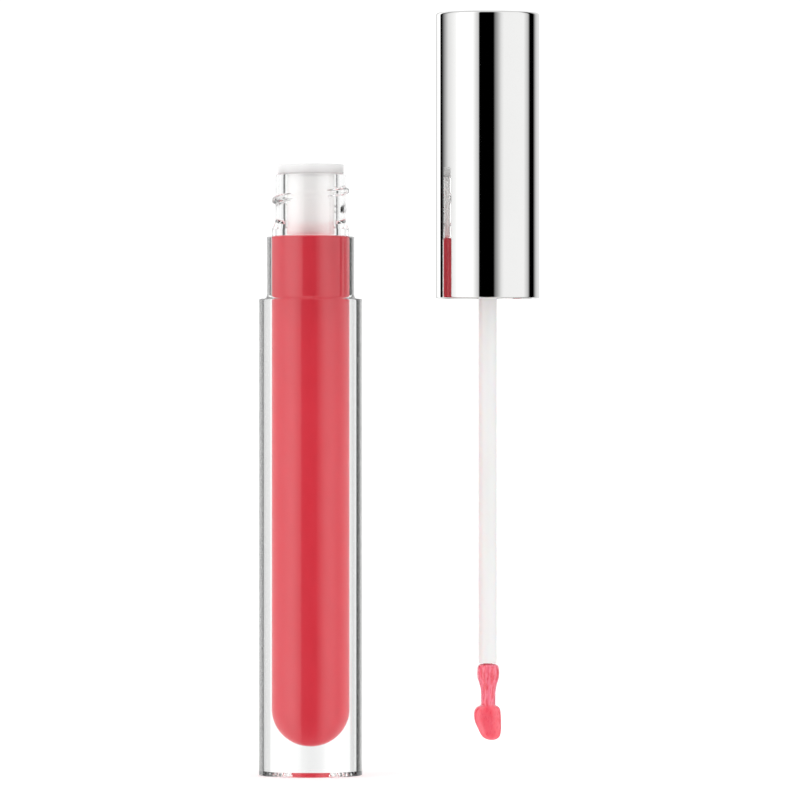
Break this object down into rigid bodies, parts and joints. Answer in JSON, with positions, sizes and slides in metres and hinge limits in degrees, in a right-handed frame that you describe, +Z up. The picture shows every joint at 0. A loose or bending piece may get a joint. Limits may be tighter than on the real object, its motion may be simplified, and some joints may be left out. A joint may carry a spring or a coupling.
{
  "type": "lip gloss tube",
  "caption": "Thick-walled clear lip gloss bottle with a wiper in its threaded neck, standing beside its mirror cap and doe-foot wand.",
  "frame": {"origin": "the bottle's axis, on the face that it stands on", "axes": "+Z up along the bottle, +X towards the cap and wand standing beside it, -Y towards the viewer"},
  "size_m": [0.0406, 0.015, 0.1104],
  "materials": {
    "clear_plastic": "polished",
    "milky_plastic": "satin",
    "gloss": "gloss",
    "mirror_metal": "polished",
    "white_plastic": "gloss",
    "seal_foam": "matte",
    "stem_plastic": "satin",
    "coral_flock": "gloss"
  },
  "bodies": {
    "bottle": {"bottle": "clear_plastic", "wiper": "milky_plastic", "gloss_fill": "gloss"},
    "seal": {"cap_seal": "seal_foam"},
    "cap": {"cap_shell": "mirror_metal", "inner_cap": "white_plastic", "stem": "stem_plastic", "applicator_neck": "coral_flock"},
    "tip": {"applicator_paddle": "coral_flock"}
  },
  "joints": [
    {"name": "cap_lift", "type": "slide", "parent": "bottle", "child": "seal", "axis": [0, 0, 1], "range_m": [0, 0.084]},
    {"name": "cap_turn", "type": "hinge", "parent": "seal", "child": "cap", "pos_m": [0.02565, 0, 0.0691], "axis": [0, 0, 1], "range_deg": [0, 414]},
    {"name": "tip_flex", "type": "hinge", "parent": "cap", "child": "tip", "pos_m": [0.02565, 0, 0.0112], "axis": [1, 0, 0], "range_deg": [-20, 20], "stiffness_Nm_per_rad": 0.004}
  ]
}
